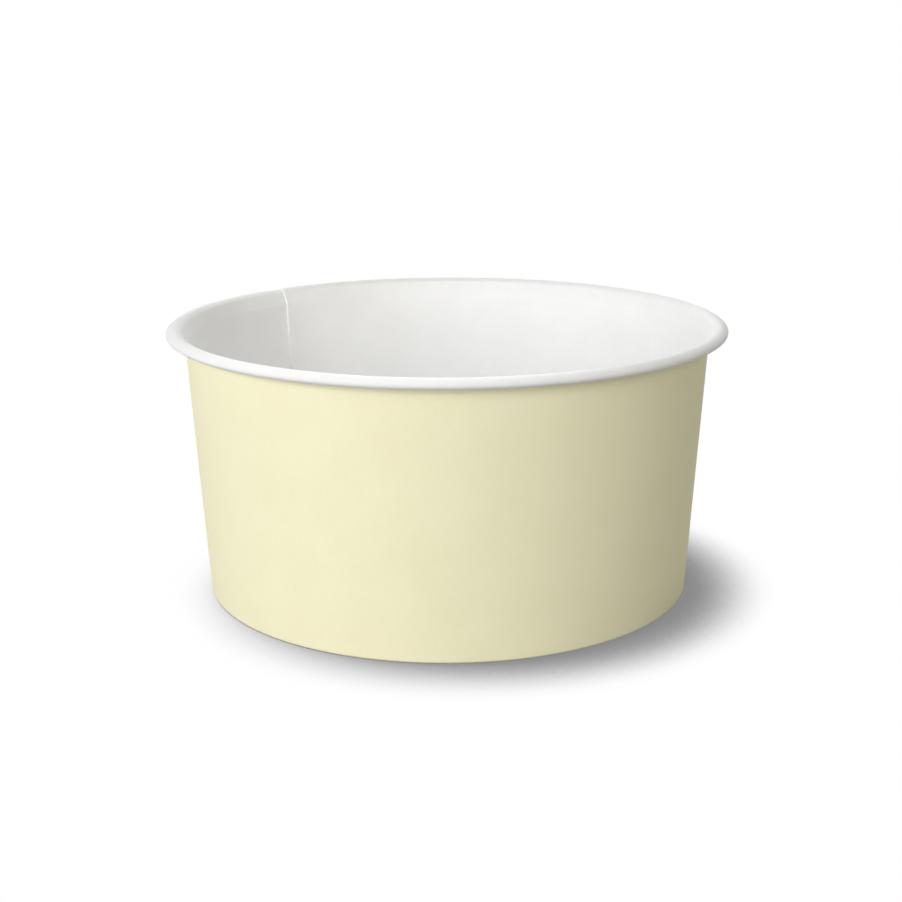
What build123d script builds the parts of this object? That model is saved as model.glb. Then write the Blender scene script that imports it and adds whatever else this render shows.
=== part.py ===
from build123d import *
import math
import os

# A round paper tub: a wall wrapped from one sheet of coated board, and a base disc sealed into its foot.
# The origin is the centre of the foot, with +Z up. The front of the tub faces -Y.

# The tub as a whole
rim_diameter = 84.0
tub_height = 40.5
foot_diameter = 73.8
floor_height = 6.35

# The two boards, and the film of coating that seals one layer to the next
wall_board = 0.35
base_board = 0.4
seal_film = 0.02

# The rolled rim: a flattened curl, tighter at its ends than along its crown, on a neck that flares from the wall
rim_width = 2.4
rim_depth = 1.6
rim_end_share = 0.55
curl_share = 0.9
neck_length = 1.9
neck_lean = 24.0
neck_radius = 1.5

# The folded foot: the hem stops short of the base disc, and the disc's skirt stops short of the fold
fold_radius_share = 0.6
hem_clearance = 1.2
skirt_clearance = 0.25
base_corner_radius = 0.9

# The side seam: the sheet's two ends lap, and the outer end eases down to the wall past the inner end's edge
seam_angle = 134.0
lap_width = 7.0
ease_width = 6.0
lap_step_share = 0.85
seam_clearance = 0.1

# The rim's middle line is an oval of four arcs: two ends, a crown and an underside
half_board = wall_board / 2
rim_half_width = rim_width / 2 - half_board
rim_half_depth = rim_depth / 2 - half_board
rim_end_radius = rim_end_share * rim_half_depth
rim_end_reach = rim_half_width - rim_end_radius
rim_flatness = rim_half_depth - rim_end_radius
rim_crown_radius = (rim_end_reach**2 + rim_half_depth**2 - rim_end_radius**2) / (2 * rim_flatness)
rim_end_turn = math.degrees(math.atan2(rim_crown_radius - rim_half_depth, rim_end_reach))
rim_crown_turn = 180 - 2 * rim_end_turn

# The neck's middle line comes down from the rim's inner end to the shoulder
foot_corner = Vector(foot_diameter / 2 - half_board, half_board)
rim_centre = Vector((rim_diameter - rim_width) / 2, tub_height - rim_depth / 2)
inner_end_centre = rim_centre - Vector(rim_end_reach, 0)
up_neck = Vector(0, 1).rotate(Axis.Z, -neck_lean)
neck_top = inner_end_centre + Vector(-rim_end_radius, 0).rotate(Axis.Z, -neck_lean)
shoulder = neck_top - up_neck * neck_length

# The wall's middle line runs from the corner of the foot to the shoulder, which is rounded
up_wall = (shoulder - foot_corner).normalized()
wall_lean = math.atan2(up_wall.X, up_wall.Y)
shoulder_turn = neck_lean - math.degrees(wall_lean)
shoulder_cut = neck_radius * math.tan(math.radians(shoulder_turn / 2))
wall_top = shoulder - up_wall * shoulder_cut

# The curl's underside turns back towards the neck and stops short of its face
tail_turn = rim_crown_turn / 2 + math.degrees(math.asin(curl_share * rim_end_reach / rim_crown_radius))

# The layers of the foot, from the wall inwards: wall, skirt of the base disc, hem
skirt_pitch = half_board + seal_film + base_board / 2
hem_pitch = wall_board + base_board + 2 * seal_film
fold_radius = fold_radius_share * wall_board
fold_top = fold_radius + half_board
hem_top = floor_height - base_board - hem_clearance
skirt_foot = wall_board + skirt_clearance
base_level = floor_height - base_board / 2

# The lap stands less than a board proud, because it is pressed into the layer under it
lap_step = lap_step_share * wall_board
lap_bite_share = 1 / lap_step_share - 1
lap_top = wall_top.Y - seam_clearance
lap_angle = math.degrees(2 * lap_width / foot_diameter)
ease_angle = math.degrees(2 * ease_width / foot_diameter)
outer_edge_angle = seam_angle - lap_angle


def wall_point(pitch, height):
    """Point of the section at a height, on the line parallel to the wall and pitch inside its middle line."""
    rise = height - foot_corner.Y
    return Vector(foot_corner.X - pitch / math.cos(wall_lean) + rise * math.tan(wall_lean), height)


def around(radius, angle):
    """Point of a level outline at a radius and an angle about the tub's axis."""
    return Vector(radius, 0).rotate(Axis.Z, angle)


def ease_line(face, step):
    """Line of the outer end as it eases from its step down into the face, past the inner end's edge."""
    raised = face + step
    buried = face - step * lap_bite_share
    halfway = around((raised + buried) / 2, seam_angle + ease_angle / 2)
    ThreePointArc(around(raised, seam_angle), halfway, around(buried, seam_angle + ease_angle))


def lap_outline(face, step):
    """Level outline of the lap's second layer, from the outer end's edge to where it has eased out."""
    buried = face - step * lap_bite_share
    Line(around(buried, outer_edge_angle), around(face + step, outer_edge_angle))
    CenterArc((0, 0), face + step, outer_edge_angle, lap_angle)
    ease_line(face, step)
    CenterArc((0, 0), buried, outer_edge_angle, lap_angle + ease_angle)


def dip_outline(face, step):
    """Level outline of the shallow dip in the wall's inner face, beside the inner end's edge."""
    buried = face - step * lap_bite_share
    Line(around(buried, seam_angle), around(face + step, seam_angle))
    ease_line(face, step)
    CenterArc((0, 0), buried, seam_angle, ease_angle)


# Side wall
with BuildPart() as side_wall:
    # The sheet's section, from the top of the hem round the fold, up the wall and round the rim
    with BuildSketch(Plane.XZ):
        with BuildLine():
            FilletPolyline(
                wall_point(hem_pitch, hem_top),
                wall_point(hem_pitch, half_board),
                foot_corner,
                wall_top,
                radius=fold_radius,
            )
            shoulder_bend = JernArc(wall_top, up_wall, neck_radius, -shoulder_turn)
            Line(shoulder_bend @ 1, neck_top)
            inner_end = JernArc(neck_top, up_neck, rim_end_radius, neck_lean - rim_end_turn)
            crown = JernArc(inner_end @ 1, inner_end % 1, rim_crown_radius, -rim_crown_turn)
            outer_end = JernArc(crown @ 1, crown % 1, rim_end_radius, -2 * rim_end_turn)
            JernArc(outer_end @ 1, outer_end % 1, rim_crown_radius, -tail_turn)
        trace(line_width=wall_board)
    revolve(axis=Axis.Z)

    # The lap's second layer, on the outside of the wall
    for height in (fold_top, lap_top):
        with BuildSketch(Plane.XY.offset(height)):
            with BuildLine():
                lap_outline(wall_point(-half_board, height).X, lap_step)
            make_face()
    loft(ruled=True)

    # The same layer where the sheet has turned up as the hem, on the side towards the axis
    for height in (fold_top, hem_top):
        with BuildSketch(Plane.XY.offset(height)):
            with BuildLine():
                lap_outline(wall_point(hem_pitch + half_board, height).X, -lap_step)
            make_face()
    loft(ruled=True)

    # The dip beside the inner end's edge, from the floor to the shoulder
    for height in (floor_height, wall_top.Y):
        with BuildSketch(Plane.XY.offset(height)):
            with BuildLine():
                dip_outline(wall_point(half_board, height).X, lap_step)
            make_face()
    loft(ruled=True, mode=Mode.SUBTRACT)

# Base disc
with BuildPart() as base_disc:
    # The disc's section, from the axis out to the corner and down the skirt
    with BuildSketch(Plane.XZ):
        with BuildLine():
            FilletPolyline(
                (0, base_level),
                wall_point(skirt_pitch, base_level),
                wall_point(skirt_pitch, skirt_foot),
                radius=base_corner_radius,
            )
        trace(line_width=base_board)
    revolve(axis=Axis.Z)

side_wall.part.label = "side_wall"
base_disc.part.label = "base_disc"

os.makedirs("parts", exist_ok=True)
export_step(side_wall.part, "parts/side_wall.step")
export_step(base_disc.part, "parts/base_disc.step")
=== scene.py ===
import math

import bpy
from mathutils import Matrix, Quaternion, Vector


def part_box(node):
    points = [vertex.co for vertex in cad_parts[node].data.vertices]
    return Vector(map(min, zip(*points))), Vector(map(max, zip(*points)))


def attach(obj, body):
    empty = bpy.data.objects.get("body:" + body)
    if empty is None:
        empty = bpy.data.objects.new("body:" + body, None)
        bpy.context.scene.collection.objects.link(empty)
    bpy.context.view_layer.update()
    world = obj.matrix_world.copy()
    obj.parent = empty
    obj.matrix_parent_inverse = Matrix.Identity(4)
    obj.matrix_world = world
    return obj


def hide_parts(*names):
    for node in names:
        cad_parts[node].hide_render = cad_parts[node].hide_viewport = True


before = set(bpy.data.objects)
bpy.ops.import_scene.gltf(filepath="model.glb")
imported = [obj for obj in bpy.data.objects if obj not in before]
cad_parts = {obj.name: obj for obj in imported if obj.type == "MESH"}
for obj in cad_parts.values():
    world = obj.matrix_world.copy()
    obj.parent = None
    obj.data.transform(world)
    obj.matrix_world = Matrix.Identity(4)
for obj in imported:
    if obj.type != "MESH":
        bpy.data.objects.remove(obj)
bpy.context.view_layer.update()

MM = 0.001
FULL_TURN = 2 * math.pi

# The tub's outer sizes are those of the frame
wall_low, wall_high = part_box("side_wall")
_, base_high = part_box("base_disc")
rim_radius = (wall_high.x - wall_low.x) / 2
tub_height = wall_high.z
floor_height = base_high.z
foot_radius = 36.9 * MM

# The two boards, and the film of coating that seals one layer to the next
wall_board = 0.35 * MM
base_board = 0.4 * MM
seal_film = 0.02 * MM

# The rolled rim: a flattened curl, tighter at its ends than along its crown.
# It stands on a neck that flares from the wall.
rim_width = 2.4 * MM
rim_depth = 1.6 * MM
rim_end_share = 0.55
curl_share = 0.9
neck_length = 1.9 * MM
neck_lean = math.radians(24.0)
neck_radius = 1.5 * MM

# The folded foot, from the outside inwards: wall, skirt of the base disc, hem with pressed ribs
fold_radius = 0.6 * wall_board
hem_clearance = 1.2 * MM
skirt_foot = 0.6 * MM
base_corner_radius = 0.9 * MM
rib_count = 150
rib_height = 0.07 * MM

# The side seam: the sheet's ends lap, and the outer end eases down past the inner end's edge
seam_angle = math.radians(134.0)
lap_angle = 7.0 * MM / foot_radius
ease_angle = 6.0 * MM / foot_radius
lap_lift = wall_board + 0.01 * MM
lap_share_at_fold = 0.06
lap_share_at_rim = 0.35
lap_rise = 0.8 * MM
lap_press = 1.0 * MM

# How far the boards stray from true, and the size of that unevenness
wall_stray = 0.05 * MM
base_stray = 0.08 * MM
stray_span = 16 * MM
stray_seed = 3.0

# Steps along each part of a section, and around the tub
hem_steps = 6
fold_steps = 7
wall_steps = 12
shoulder_steps = 4
rim_end_steps = 7
rim_crown_steps = 8
curl_steps = 5
disc_steps = 14
skirt_steps = 5
wall_wrap_steps = 618
disc_wrap_steps = 240

# The boards are welded where their grids meet, and bends sharper than this stay crisp
weld_distance = 0.0005 * MM
crisp_angle = math.radians(40)

# The floor, and the shadow painted into its glow beside the tub: where it leans, how far it reaches and how
# deep it is, and how open to the light the floor is where the painted shade is full and where it ends
floor_reach = 3.0
floor_tone = (0.35, 0.35, 0.35, 1.0)
shade_lean = Vector((-0.6, 0.3, 0.0))
shade_reach = 16 * MM
shade_depth = 0.25
shade_full = 0.36
shade_end = 0.9

# How far the lamps hang from the tub, and the bulb of a narrow lamp
lamp_distance = 0.7
bulb_radius = 0.003

# The camera, fitted to the outline of the tub in the photograph
camera_sensor = 36.0
camera_lens = 62.42
camera_aim = Vector((0.51, 0, 19.85)) * MM
camera_distance = 242.1 * MM
camera_elevation = 15.2
camera_roll = math.radians(-0.24)

# Deeper and lighter tone of each finish, and the faint sheen of print and coating
cream_tones = ((0.909, 0.871, 0.605), (0.935, 0.902, 0.642))
coat_tones = ((0.86, 0.86, 0.856), (0.89, 0.89, 0.887))
core_tones = ((0.88, 0.87, 0.84), (0.95, 0.945, 0.93))
board_tones = ((0.86, 0.86, 0.835), (0.91, 0.91, 0.895))
coat_sheen = 0.03

# The rim's middle line is an oval of four arcs: two ends, a crown and an underside
half_board = wall_board / 2
rim_half_width = rim_width / 2 - half_board
rim_half_depth = rim_depth / 2 - half_board
rim_end_radius = rim_end_share * rim_half_depth
rim_end_reach = rim_half_width - rim_end_radius
rim_flatness = rim_half_depth - rim_end_radius
rim_crown_radius = (rim_end_reach**2 + rim_half_depth**2 - rim_end_radius**2) / (2 * rim_flatness)
rim_end_turn = math.atan2(rim_crown_radius - rim_half_depth, rim_end_reach)
rim_crown_turn = math.pi - 2 * rim_end_turn

# The neck's middle line comes down from the rim's inner end to the shoulder
rim_centre = Vector((rim_radius - rim_width / 2, tub_height - rim_depth / 2))
inner_end_centre = rim_centre - Vector((rim_end_reach, 0))
neck_top = inner_end_centre + Vector((-math.cos(neck_lean), math.sin(neck_lean))) * rim_end_radius
shoulder = neck_top - Vector((math.sin(neck_lean), math.cos(neck_lean))) * neck_length

# The wall's middle line runs from the corner of the foot to the shoulder, which is rounded
foot_corner = Vector((foot_radius - half_board, half_board))
wall_reach = shoulder - foot_corner
wall_lean = math.atan2(wall_reach.x, wall_reach.y)
wall_heading = math.pi / 2 - wall_lean

# The curl's underside turns back towards the neck and stops short of its face
curl_turn = rim_crown_turn / 2 + math.asin(curl_share * rim_end_reach / rim_crown_radius)

# Middle lines of the skirt and the hem, as distances inside that of the wall
skirt_pitch = half_board + seal_film + base_board / 2
hem_pitch = wall_board + base_board + 2 * seal_film
hem_top = floor_height - base_board - hem_clearance
base_level = floor_height - base_board / 2


class Section:
    """Middle line of a board in section, walked in runs and bends from one cut edge to the other."""

    def __init__(self, start, heading):
        self.place = start.copy()
        self.heading = heading
        self.lap_share = 1.0
        self.stations = []
        self.note()

    def note(self, ribbed=0.0, slack=0.0):
        """Notes a station: its place, where the outer face looks, and its shares of ribs, stray and lap."""
        outward = Vector((math.sin(self.heading), -math.cos(self.heading)))
        self.stations.append((self.place.copy(), outward, ribbed, slack, self.lap_share))

    def forward(self, length):
        """Moves on in the present heading."""
        self.place += Vector((math.cos(self.heading), math.sin(self.heading))) * length

    def run(self, length, steps, ribbed=0.0, slack=0.0):
        """Walks straight on; ribs and unevenness rise from nothing at the ends of the run."""
        for step in range(1, steps + 1):
            self.forward(length / steps)
            arch = 1 - (2 * step / steps - 1) ** 4
            self.note(ribbed * arch, slack * arch)

    def bend(self, radius, turn, steps):
        """Walks round an arc; a positive turn is to the left."""
        for _ in range(steps):
            self.heading += turn / steps / 2
            self.forward(2 * radius * math.sin(abs(turn) / steps / 2))
            self.heading += turn / steps / 2
            self.note()


def wall_point(pitch, height):
    """Point at a height on the line parallel to the wall and pitch inside its middle line."""
    rise = height - foot_corner.y
    return Vector((foot_corner.x - pitch / math.cos(wall_lean) + rise * math.tan(wall_lean), height))


def corner_cut(radius, turn):
    """Length that a rounded corner takes from each of its two sides."""
    return radius * math.tan(turn / 2)


def side_wall_section():
    """From the top of the hem down round the fold, up the wall and round the rim."""
    top = wall_point(hem_pitch, hem_top)
    hem_corner = wall_point(hem_pitch, half_board)
    hem_turn = math.pi - wall_heading
    hem_cut = corner_cut(fold_radius, hem_turn)
    foot_cut = corner_cut(fold_radius, wall_heading)
    shoulder_cut = corner_cut(neck_radius, neck_lean - wall_lean)
    section = Section(top, wall_heading - math.pi)
    section.run((hem_corner - top).length - hem_cut - lap_rise, hem_steps, ribbed=1.0)
    section.lap_share = lap_share_at_fold
    section.run(lap_rise, 1)
    section.bend(fold_radius, hem_turn, fold_steps)
    section.run((foot_corner - hem_corner).length - hem_cut - foot_cut, 1)
    section.bend(fold_radius, wall_heading, fold_steps)
    section.lap_share = 1.0
    section.run(lap_rise, 1)
    section.run(wall_reach.length - foot_cut - lap_rise - lap_press, wall_steps, slack=1.0)
    section.lap_share = lap_share_at_rim
    section.run(lap_press - shoulder_cut, 1)
    section.bend(neck_radius, wall_lean - neck_lean, shoulder_steps)
    section.run(neck_length - shoulder_cut, 1)
    section.bend(rim_end_radius, neck_lean - rim_end_turn, rim_end_steps)
    section.bend(rim_crown_radius, -rim_crown_turn, rim_crown_steps)
    section.bend(rim_end_radius, -2 * rim_end_turn, 2 * rim_end_steps)
    section.bend(rim_crown_radius, -curl_turn, curl_steps)
    return section


def base_disc_section():
    """From the axis out to the corner and down the skirt."""
    corner = wall_point(skirt_pitch, base_level)
    skirt_turn = math.pi - wall_heading
    corner_loss = corner_cut(base_corner_radius, skirt_turn)
    skirt_end = wall_point(skirt_pitch, skirt_foot)
    section = Section(Vector((0, base_level)), 0)
    section.run(corner.x - corner_loss, disc_steps, slack=1.0)
    section.bend(base_corner_radius, -skirt_turn, fold_steps)
    section.run((corner - skirt_end).length - corner_loss, skirt_steps)
    return section


class Value:
    """A number in a node tree that takes plain arithmetic."""

    def __init__(self, tree, socket):
        self.tree = tree
        self.socket = socket

    def __add__(self, other):
        return figure(self.tree, "ADD", self, other)

    def __sub__(self, other):
        return figure(self.tree, "SUBTRACT", self, other)

    def __rsub__(self, other):
        return figure(self.tree, "SUBTRACT", other, self)

    def __mul__(self, other):
        return figure(self.tree, "MULTIPLY", self, other)

    def above(self, other):
        return figure(self.tree, "GREATER_THAN", self, other)

    def near(self, other, reach):
        """1 within reach of the other number, and 0 further off."""
        return figure(self.tree, "COMPARE", self, other, reach)


def figure(tree, operation, *values):
    """One step of arithmetic in a node tree."""
    node = add_node(tree, "ShaderNodeMath", operation=operation)
    for socket, value in zip(node.inputs, values):
        feed(tree, socket, value)
    return Value(tree, node.outputs[0])


def feed(tree, socket, value):
    """Wires a value of the tree into a socket, or sets a plain number or colour on it."""
    if isinstance(value, Value):
        tree.links.new(value.socket, socket)
    elif isinstance(value, bpy.types.NodeSocket):
        tree.links.new(value, socket)
    else:
        socket.default_value = value


def add_node(tree, kind, inputs=None, **options):
    """Adds a node with its options set and its inputs fed."""
    node = tree.nodes.new(kind)
    for option, choice in options.items():
        setattr(node, option, choice)
    for key, value in (inputs or {}).items():
        feed(tree, node.inputs[key], value)
    return node


def parts_of(tree, vector):
    """The three numbers of a vector."""
    node = add_node(tree, "ShaderNodeSeparateXYZ", {0: vector})
    return [Value(tree, socket) for socket in node.outputs]


def vector_of(tree, x, y, z):
    """A vector of three numbers."""
    return add_node(tree, "ShaderNodeCombineXYZ", {0: x, 1: y, 2: z}).outputs[0]


def soft_rise(tree, value, low, high):
    """Rises softly from 0 at low to 1 at high."""
    limits = {"Value": value, "From Min": low, "From Max": high}
    node = add_node(tree, "ShaderNodeMapRange", limits, interpolation_type="SMOOTHSTEP")
    return Value(tree, node.outputs["Result"])


def stored(tree, name, data_type="FLOAT"):
    """An attribute of the geometry."""
    node = add_node(tree, "GeometryNodeInputNamedAttribute", {"Name": name}, data_type=data_type)
    return node.outputs["Attribute"]


def store(tree, geometry, name, value, domain="POINT"):
    """The geometry with a number stored on it."""
    fed = {"Geometry": geometry, "Name": name, "Value": value}
    node = add_node(tree, "GeometryNodeStoreNamedAttribute", fed, data_type="FLOAT", domain=domain)
    return node.outputs["Geometry"]


def at_station(tree, section, field, station, data_type="FLOAT"):
    """What the section has at a station."""
    fed = {"Geometry": section, "Value": field, "Index": station}
    node = add_node(tree, "GeometryNodeSampleIndex", fed, data_type=data_type, domain="POINT")
    return node.outputs[0]


def flat_grid(tree, columns, rows):
    """A grid, with its two coordinates from 0 to 1."""
    sizes = {"Size X": 1.0, "Size Y": 1.0, "Vertices X": columns, "Vertices Y": rows}
    grid = add_node(tree, "GeometryNodeMeshGrid", sizes)
    x, y, _ = parts_of(tree, add_node(tree, "GeometryNodeInputPosition").outputs[0])
    return grid.outputs["Mesh"], x + 0.5, y + 0.5


def turned_over(tree, mesh):
    """The mesh with its faces looking the other way."""
    return add_node(tree, "GeometryNodeFlipFaces", {"Mesh": mesh}).outputs["Mesh"]


def board_faces(tree, stations, steps, lapped):
    """Grid along the white face, over the far edge, back along the outer face and over the near edge."""
    columns = stations * 2
    grid, along, turn = flat_grid(tree, columns + 1, steps + 1)
    place = along * columns
    column = figure(tree, "ROUND", place)
    closing = column.above(columns - 0.5)
    outer = column.above(stations - 0.5) - closing
    station = column * (1 - outer - closing) + (columns - 1 - column) * outer
    near_edge = place.above(columns - 1)
    edge = near_edge + place.near(stations - 0.5, 0.25)
    finish = place.above(stations) * (1 - edge) + edge * 2
    grid = store(tree, grid, "station", station)
    grid = store(tree, grid, "outer", outer)
    grid = store(tree, grid, "turn", turn)
    grid = store(tree, grid, "finish", finish, domain="FACE")
    pole = {"Geometry": grid, "Selection": near_edge * (1 - lapped)}
    grid = add_node(tree, "GeometryNodeDeleteGeometry", pole, domain="FACE").outputs["Geometry"]
    return turned_over(tree, grid)


def cut_end(tree, stations, turn):
    """Grid across the cut edge at one end of the sheet."""
    grid, along, across = flat_grid(tree, stations, 2)
    grid = store(tree, grid, "station", figure(tree, "ROUND", along * (stations - 1)))
    grid = store(tree, grid, "outer", across)
    grid = store(tree, grid, "turn", turn)
    return store(tree, grid, "finish", 2.0, domain="FACE")


def wrapped_places(tree, sizes, section):
    """Where each point of the flat grids goes when the board is wrapped round the tub's axis."""
    station = stored(tree, "station")
    position = add_node(tree, "GeometryNodeInputPosition").outputs[0]
    radius, _, height = parts_of(tree, at_station(tree, section, position, station, "FLOAT_VECTOR"))
    outward = stored(tree, "outward", "FLOAT_VECTOR")
    lean, _, rise = parts_of(tree, at_station(tree, section, outward, station, "FLOAT_VECTOR"))
    ribbed = Value(tree, at_station(tree, section, stored(tree, "ribbed"), station))
    slack = Value(tree, at_station(tree, section, stored(tree, "slack"), station))
    lap_share = Value(tree, at_station(tree, section, stored(tree, "lap_share"), station))
    swept = Value(tree, stored(tree, "turn")) * sizes["Wrap angle"]
    angle = sizes["Start angle"] - swept
    cosine = figure(tree, "COSINE", angle)
    sine = figure(tree, "SINE", angle)
    middle = vector_of(tree, radius * cosine, radius * sine, height)
    lap = soft_rise(tree, swept, FULL_TURN - sizes["Ease angle"], FULL_TURN) * lap_share
    noise = {"Vector": middle, "W": sizes["Seed"], "Scale": 1 / stray_span, "Detail": 1.0}
    wave = add_node(tree, "ShaderNodeTexNoise", noise, noise_dimensions="4D").outputs[0]
    stray = (Value(tree, wave) * 2 - 1) * slack * sizes["Stray"]
    ribs = (1 - figure(tree, "COSINE", angle * sizes["Rib count"])) * 0.5 * ribbed * sizes["Rib height"]
    side = Value(tree, stored(tree, "outer")) - 0.5
    offset = side * sizes["Board"] + lap * sizes["Lap lift"] + stray + ribs
    reach = radius + lean * offset
    return vector_of(tree, reach * cosine, reach * sine, height + rise * offset)


def finished_board(tree, mesh, sizes):
    """Closes the board's seams, keeps its cut edges crisp and gives each side its finish."""
    closed = add_node(tree, "GeometryNodeMergeByDistance", {"Geometry": mesh, "Distance": weld_distance})
    smooth = add_node(tree, "GeometryNodeSetShadeSmooth", {"Geometry": closed.outputs[0]}, domain="FACE")
    bend = Value(tree, add_node(tree, "GeometryNodeInputMeshEdgeAngle").outputs["Unsigned Angle"])
    crisp = {"Geometry": smooth.outputs[0], "Selection": bend.above(crisp_angle), "Shade Smooth": False}
    mesh = add_node(tree, "GeometryNodeSetShadeSmooth", crisp, domain="EDGE").outputs[0]
    mesh = add_node(tree, "GeometryNodeRealizeInstances", {"Geometry": mesh}).outputs[0]
    finish = Value(tree, stored(tree, "finish"))
    for number, side in enumerate(("White side", "Outer side", "Cut edge")):
        chosen = {"Geometry": mesh, "Selection": finish.above(number - 0.5), "Material": sizes[side]}
        mesh = add_node(tree, "GeometryNodeSetMaterial", chosen).outputs[0]
    for name in ("station", "outer", "turn", "finish"):
        mesh = add_node(tree, "GeometryNodeRemoveAttribute", {"Geometry": mesh, "Name": name}).outputs[0]
    return mesh


def wrapped_board_tree():
    """Nodes that wrap a board of even thickness round the tub's axis, from its section."""
    tree = bpy.data.node_groups.new("wrapped_board", "GeometryNodeTree")
    kinds = {
        "Section": "NodeSocketGeometry",
        "Board": "NodeSocketFloat",
        "Start angle": "NodeSocketFloat",
        "Wrap angle": "NodeSocketFloat",
        "Ease angle": "NodeSocketFloat",
        "Lap lift": "NodeSocketFloat",
        "Lapped": "NodeSocketBool",
        "Steps around": "NodeSocketInt",
        "Rib count": "NodeSocketInt",
        "Rib height": "NodeSocketFloat",
        "Stray": "NodeSocketFloat",
        "Seed": "NodeSocketFloat",
        "White side": "NodeSocketMaterial",
        "Outer side": "NodeSocketMaterial",
        "Cut edge": "NodeSocketMaterial",
    }
    for name, kind in kinds.items():
        tree.interface.new_socket(name, in_out="INPUT", socket_type=kind)
    tree.interface.new_socket("Wrapped", in_out="OUTPUT", socket_type="NodeSocketGeometry")
    given = add_node(tree, "NodeGroupInput").outputs
    sizes = {name: Value(tree, given[name]) for name in kinds}
    section = given["Section"]
    count = add_node(tree, "GeometryNodeAttributeDomainSize", {"Geometry": section}, component="MESH")
    stations = Value(tree, count.outputs["Point Count"])
    faces = board_faces(tree, stations, sizes["Steps around"], sizes["Lapped"])
    ends = add_node(tree, "GeometryNodeJoinGeometry")
    feed(tree, ends.inputs[0], cut_end(tree, stations, 0.0))
    feed(tree, ends.inputs[0], turned_over(tree, cut_end(tree, stations, 1.0)))
    kept = {"Switch": sizes["Lapped"], "True": ends.outputs[0]}
    shown_ends = add_node(tree, "GeometryNodeSwitch", kept, input_type="GEOMETRY")
    flat = add_node(tree, "GeometryNodeJoinGeometry")
    feed(tree, flat.inputs[0], faces)
    feed(tree, flat.inputs[0], shown_ends.outputs[0])
    places = {"Geometry": flat.outputs[0], "Position": wrapped_places(tree, sizes, section)}
    wrapped = add_node(tree, "GeometryNodeSetPosition", places).outputs[0]
    add_node(tree, "NodeGroupOutput", {0: finished_board(tree, wrapped, sizes)})
    return tree


def section_mesh(name, section):
    """The section as a line of points that carry their outward direction, ribs, unevenness and lap."""
    places, looks, ribbed, slack, lap_share = zip(*section.stations)
    points = [(place.x, 0, place.y) for place in places]
    mesh = bpy.data.meshes.new(name)
    mesh.from_pydata(points, [(i, i + 1) for i in range(len(points) - 1)], [])
    directions = [number for look in looks for number in (look.x, 0, look.y)]
    mesh.attributes.new("outward", "FLOAT_VECTOR", "POINT").data.foreach_set("vector", directions)
    mesh.attributes.new("ribbed", "FLOAT", "POINT").data.foreach_set("value", ribbed)
    mesh.attributes.new("slack", "FLOAT", "POINT").data.foreach_set("value", slack)
    mesh.attributes.new("lap_share", "FLOAT", "POINT").data.foreach_set("value", lap_share)
    return mesh


def wrap_board(name, section, tree, sizes):
    """Wraps a section into a board and settles it as a plain mesh."""
    piece = bpy.data.objects.new(name, section_mesh(name + "_section", section))
    bpy.context.scene.collection.objects.link(piece)
    modifier = piece.modifiers.new("wrap", "NODES")
    modifier.node_group = tree
    for item in tree.interface.items_tree:
        if item.in_out == "INPUT" and item.name in sizes:
            modifier[item.identifier] = sizes[item.name]
    graph = bpy.context.evaluated_depsgraph_get()
    mesh = bpy.data.meshes.new_from_object(piece.evaluated_get(graph), depsgraph=graph)
    mesh.name = name
    mesh.materials.pop(index=0)
    piece.modifiers.clear()
    piece.data = mesh
    return piece


def new_material(name):
    """A material, its tree and its surface shader."""
    material = bpy.data.materials.new(name)
    material.use_nodes = True
    tree = material.node_tree
    return material, tree, tree.nodes["Principled BSDF"]


def grain(tree, span, detail, stretch=(1, 1, 1)):
    """Noise whose features are about span across, on the piece's own coordinates."""
    coordinates = add_node(tree, "ShaderNodeTexCoord").outputs["Object"]
    mapped = add_node(tree, "ShaderNodeMapping", {"Vector": coordinates, "Scale": stretch})
    fed = {"Vector": mapped.outputs[0], "Scale": 1 / span, "Detail": detail}
    return Value(tree, add_node(tree, "ShaderNodeTexNoise", fed).outputs[0])


def between(tree, share, tones, low=0.32, high=0.68):
    """Colour between a deeper and a lighter tone."""
    ramp = add_node(tree, "ShaderNodeValToRGB", {0: share})
    for stop, place, tone in zip(ramp.color_ramp.elements, (low, high), tones):
        stop.position = place
        stop.color = (*tone, 1.0)
    return ramp.outputs["Color"]


def relief(tree, height, depth):
    """Surface relief of that depth, in metres."""
    bump = add_node(tree, "ShaderNodeBump", {"Height": height, "Distance": depth, "Strength": 1.0})
    return bump.outputs["Normal"]


def cream_print():
    """Cream ink under a thin satin varnish, with the board's fibres showing faintly through."""
    material, tree, shader = new_material("cream_print")
    cloud = grain(tree, span=7 * MM, detail=3.0)
    fibre = grain(tree, span=0.45 * MM, detail=4.0, stretch=(1, 1, 0.45))
    feed(tree, shader.inputs["Base Color"], between(tree, cloud * 0.6 + fibre * 0.4, cream_tones))
    feed(tree, shader.inputs["Roughness"], cloud * 0.14 + fibre * 0.06 + 0.5)
    feed(tree, shader.inputs["Specular IOR Level"], coat_sheen)
    feed(tree, shader.inputs["Normal"], relief(tree, cloud * 3 + fibre, depth=0.008 * MM))
    return material


def white_coating():
    """Smooth white film over the board, with a faint unevenness of its gloss."""
    material, tree, shader = new_material("white_coating")
    cloud = grain(tree, span=5 * MM, detail=3.0)
    peel = grain(tree, span=1.1 * MM, detail=2.0)
    feed(tree, shader.inputs["Base Color"], between(tree, cloud * 0.7 + peel * 0.3, coat_tones))
    feed(tree, shader.inputs["Roughness"], cloud * 0.12 + peel * 0.08 + 0.4)
    feed(tree, shader.inputs["Specular IOR Level"], coat_sheen)
    feed(tree, shader.inputs["Normal"], relief(tree, cloud * 2 + peel, depth=0.012 * MM))
    return material


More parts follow.
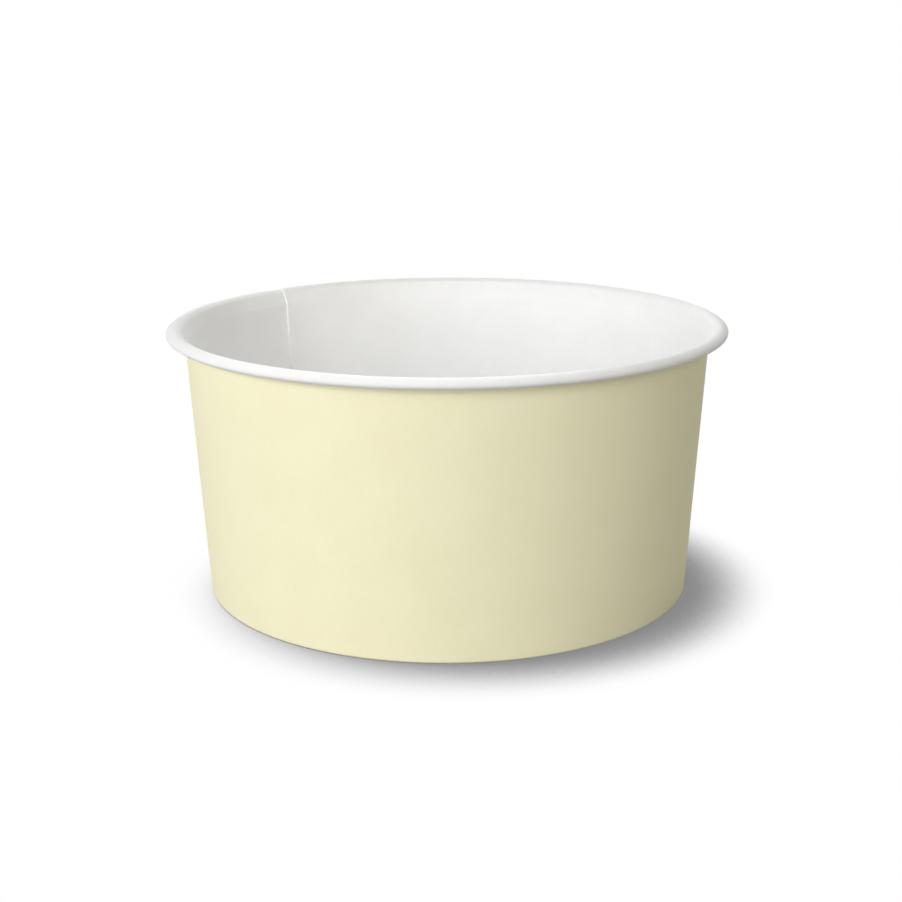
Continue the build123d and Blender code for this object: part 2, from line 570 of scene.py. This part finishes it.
def raw_core():
    """Cut edge of the board, where its fibres lie bare."""
    material, tree, shader = new_material("raw_core")
    fibre = grain(tree, span=0.16 * MM, detail=5.0, stretch=(1, 1, 0.3))
    feed(tree, shader.inputs["Base Color"], between(tree, fibre, core_tones))
    feed(tree, shader.inputs["Roughness"], fibre * 0.2 + 0.75)
    feed(tree, shader.inputs["Normal"], relief(tree, fibre, depth=0.03 * MM))
    return material


def bare_board():
    """Underside of the base disc: uncoated white board with a fine felt of fibres."""
    material, tree, shader = new_material("bare_board")
    cloud = grain(tree, span=4 * MM, detail=4.0)
    fibre = grain(tree, span=0.35 * MM, detail=5.0)
    feed(tree, shader.inputs["Base Color"], between(tree, cloud * 0.5 + fibre * 0.5, board_tones))
    feed(tree, shader.inputs["Roughness"], fibre * 0.15 + 0.6)
    feed(tree, shader.inputs["Normal"], relief(tree, cloud * 2 + fibre, depth=0.015 * MM))
    return material


def seen_straight(tree):
    """1 for rays that show the surroundings, also in a mirror or a pane, and 0 for those that light."""
    path = add_node(tree, "ShaderNodeLightPath").outputs
    glossy = figure(tree, "MAXIMUM", path["Is Camera Ray"], path["Is Glossy Ray"])
    return figure(tree, "MAXIMUM", glossy, path["Is Transmission Ray"])


def studio_floor():
    """Pale floor that glows white in the picture, with a painted shadow, darker where the tub keeps light
    from it.
    """
    mesh = bpy.data.meshes.new("floor")
    corners = [(x * floor_reach, y * floor_reach, 0) for x, y in ((-1, -1), (1, -1), (1, 1), (-1, 1))]
    mesh.from_pydata(corners, [], [(0, 1, 2, 3)])
    floor = bpy.data.objects.new("floor", mesh)
    bpy.context.scene.collection.objects.link(floor)
    material, tree, shader = new_material("pale_floor")
    feed(tree, shader.inputs["Base Color"], floor_tone)
    feed(tree, shader.inputs["Roughness"], 0.9)
    upright = add_node(tree, "ShaderNodeNewGeometry").outputs["Normal"]
    leaned = add_node(tree, "ShaderNodeVectorMath", {0: upright, 1: shade_lean}, operation="ADD")
    to_light = add_node(tree, "ShaderNodeVectorMath", {0: leaned.outputs[0]}, operation="NORMALIZE")
    look = {"Distance": shade_reach, "Normal": to_light.outputs[0]}
    # The shadow beside the tub is painted: occlusion towards a leaned sky dims the floor's glow, instead of
    # a lamp casting it
    shade = add_node(tree, "ShaderNodeAmbientOcclusion", look, samples=16)
    open_sky = soft_rise(tree, shade.outputs["AO"], shade_full, shade_end)
    glow_with_painted_shadow = add_node(tree, "ShaderNodeEmission", {"Strength": open_sky * (1 - shade_depth) + shade_depth})
    mixed = {0: seen_straight(tree), 1: shader.outputs[0], 2: glow_with_painted_shadow.outputs[0]}
    mix = add_node(tree, "ShaderNodeMixShader", mixed)
    feed(tree, tree.nodes["Material Output"].inputs["Surface"], mix.outputs[0])
    mesh.materials.append(material)
    return floor


def studio_world(level):
    """Soft light from all round, with white behind the tub."""
    world = bpy.data.worlds.new("studio")
    bpy.context.scene.world = world
    world.use_nodes = True
    tree = world.node_tree
    soft = tree.nodes["Background"]
    feed(tree, soft.inputs["Color"], (1.0, 1.0, 1.0, 1.0))
    feed(tree, soft.inputs["Strength"], level)
    white = add_node(tree, "ShaderNodeBackground", {"Color": (1.0, 1.0, 1.0, 1.0), "Strength": 1.0})
    mixed = {0: seen_straight(tree), 1: soft.outputs[0], 2: white.outputs[0]}
    mix = add_node(tree, "ShaderNodeMixShader", mixed)
    feed(tree, tree.nodes["World Output"].inputs["Surface"], mix.outputs[0])


def towards(azimuth, elevation):
    """Direction from the tub; azimuth 0 is the front and 90 the right, both in degrees."""
    turn = math.radians(azimuth)
    height = math.radians(elevation)
    level = math.cos(height)
    return Vector((math.sin(turn) * level, -math.cos(turn) * level, math.sin(height)))


def hang_lamp(name, lamp, aim, azimuth, elevation, power):
    """Hangs a lamp in that direction from the tub and turns it to its aim."""
    lamp.energy = power
    holder = bpy.data.objects.new(name, lamp)
    away = towards(azimuth, elevation)
    holder.location = aim + away * lamp_distance
    holder.rotation_mode = "QUATERNION"
    holder.rotation_quaternion = (-away).to_track_quat("-Z", "Y")
    bpy.context.scene.collection.objects.link(holder)


def softbox(name, azimuth, elevation, size, power, tint=(1.0, 1.0, 1.0)):
    """Square lamp that looks at the middle of the tub."""
    lamp = bpy.data.lights.new(name, "AREA")
    lamp.size = size
    lamp.color = tint
    hang_lamp(name, lamp, Vector((0, 0, tub_height / 2)), azimuth, elevation, power)


def narrow_lamp(name, aim, azimuth, elevation, spread, power):
    """Lamp with a tube before it, so that it lights one place only; aim and spread are in millimetres."""
    lamp = bpy.data.lights.new(name, "SPOT")
    lamp.spot_size = 2 * math.atan(spread * MM / lamp_distance)
    lamp.spot_blend = 1.0
    lamp.shadow_soft_size = bulb_radius
    hang_lamp(name, lamp, Vector(aim) * MM, azimuth, elevation, power)


def photo_camera():
    """Camera at the photograph's viewing angle: a little above the rim, from the front."""
    camera = bpy.data.cameras.new("camera")
    camera.sensor_width = camera_sensor
    camera.lens = camera_lens
    camera.clip_start = 0.01
    camera.clip_end = 20.0
    holder = bpy.data.objects.new("camera", camera)
    away = towards(0.0, camera_elevation)
    holder.location = camera_aim + away * camera_distance
    holder.rotation_mode = "QUATERNION"
    roll = Quaternion((0, 0, 1), camera_roll)
    holder.rotation_quaternion = (-away).to_track_quat("-Z", "Y") @ roll
    bpy.context.scene.collection.objects.link(holder)
    bpy.context.scene.camera = holder


def make_tub():
    """The two pieces of the tub, in place of their solids."""
    tree = wrapped_board_tree()
    coating = white_coating()
    core = raw_core()
    wall_sizes = {
        "Board": wall_board,
        "Start angle": seam_angle,
        "Wrap angle": FULL_TURN + lap_angle,
        "Ease angle": ease_angle,
        "Lap lift": lap_lift,
        "Lapped": True,
        "Steps around": wall_wrap_steps,
        "Rib count": rib_count,
        "Rib height": rib_height,
        "Stray": wall_stray,
        "Seed": stray_seed,
        "White side": coating,
        "Outer side": cream_print(),
        "Cut edge": core,
    }
    base_sizes = {
        **wall_sizes,
        "Board": base_board,
        "Wrap angle": FULL_TURN,
        "Lap lift": 0.0,
        "Lapped": False,
        "Steps around": disc_wrap_steps,
        "Rib height": 0.0,
        "Stray": base_stray,
        "Outer side": bare_board(),
    }
    wall = wrap_board("side_wall_sheet", side_wall_section(), tree, wall_sizes)
    base = wrap_board("base_disc_sheet", base_disc_section(), tree, base_sizes)
    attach(wall, "root")
    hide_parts("side_wall")
    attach(base, "root")
    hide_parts("base_disc")


make_tub()
studio_floor()
studio_world(0.25)
softbox("key_lamp", azimuth=-36, elevation=12, size=0.5, power=1.95)
softbox("small_key_lamp", azimuth=-30, elevation=17, size=0.3, power=1.15)
softbox("left_lamp", azimuth=-70, elevation=12, size=0.5, power=1.1)
softbox("right_lamp", azimuth=45, elevation=20, size=0.5, power=0.9, tint=(1.0, 0.95, 0.8))
softbox("back_lamp", azimuth=180, elevation=30, size=0.5, power=2.2)
softbox("top_lamp", azimuth=0, elevation=88, size=0.5, power=0.35)
narrow_lamp("rim_front_lamp", aim=(-8, -40, 40), azimuth=180, elevation=50, spread=38, power=6.5)
narrow_lamp("seam_lamp", aim=(-27, 28, 36), azimuth=-38, elevation=37, spread=9, power=2.8)
narrow_lamp("inside_lamp", aim=(0, 4, 6), azimuth=0, elevation=80, spread=50, power=6.5)
photo_camera()
bpy.context.scene.view_settings.view_transform = "Standard"
